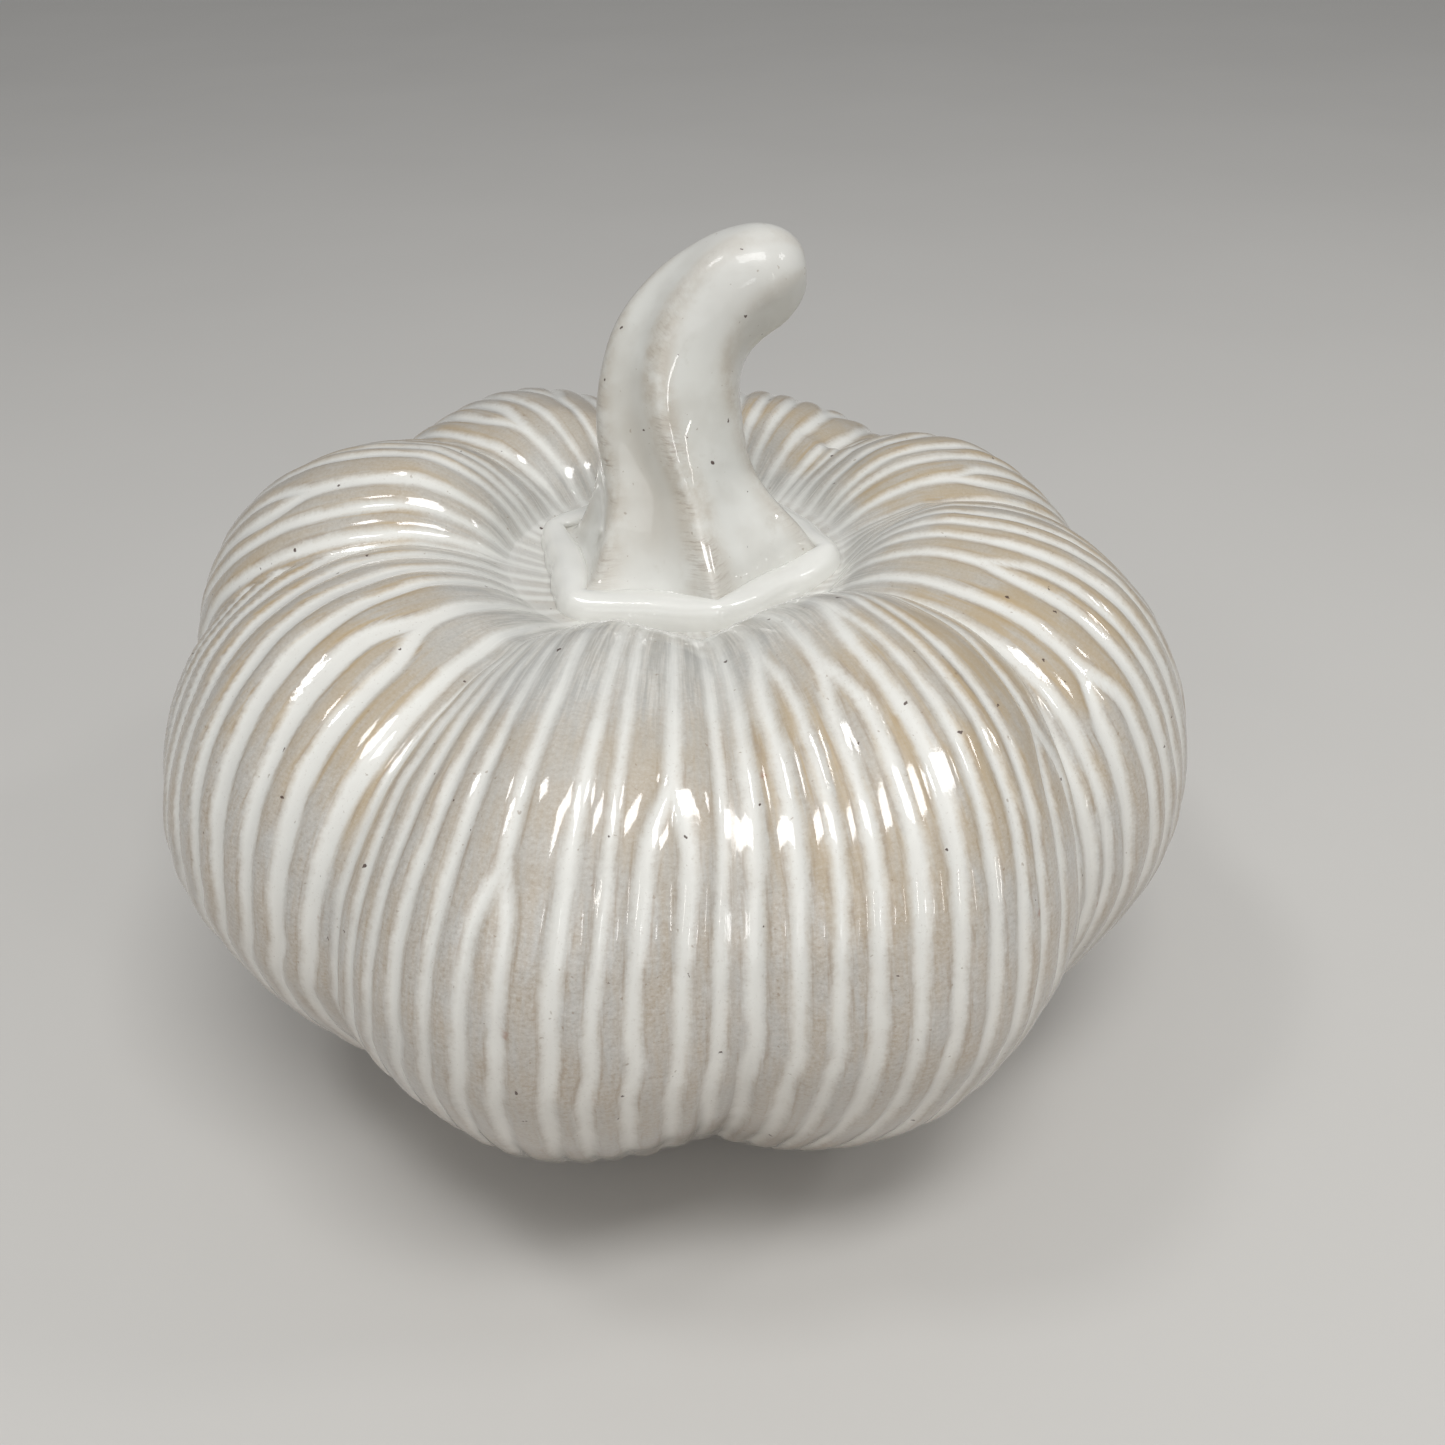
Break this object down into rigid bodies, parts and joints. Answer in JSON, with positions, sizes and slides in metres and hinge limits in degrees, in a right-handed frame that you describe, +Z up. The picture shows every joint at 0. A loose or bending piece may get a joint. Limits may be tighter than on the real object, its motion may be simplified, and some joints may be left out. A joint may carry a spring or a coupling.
{
  "type": "ceramic pumpkin figure",
  "caption": "Glazed stoneware pumpkin ornament: hollow lobed body with a curved five-sided stem luted into its crown.",
  "frame": {"origin": "centre of the ring-shaped face that the pumpkin stands on, on the crown hole's axis", "axes": "+Z up along the crown hole's axis; +X towards the side that the stem's tip leans to; -Y faces the viewer"},
  "size_m": [0.1732, 0.1792, 0.1354],
  "materials": {
    "body_glaze": "glossy clear glaze over carved grooves filled with opaque white",
    "stem_glaze": "glossy off-white glaze, thin and beige over the ridges",
    "white_slip": "glossy opaque white",
    "felt": "matt wool felt"
  },
  "bodies": {
    "root": {"body_shell": "body_glaze", "stem": "stem_glaze", "slip_collar": "white_slip", "felt_ring": "felt"}
  },
  "joints": []
}
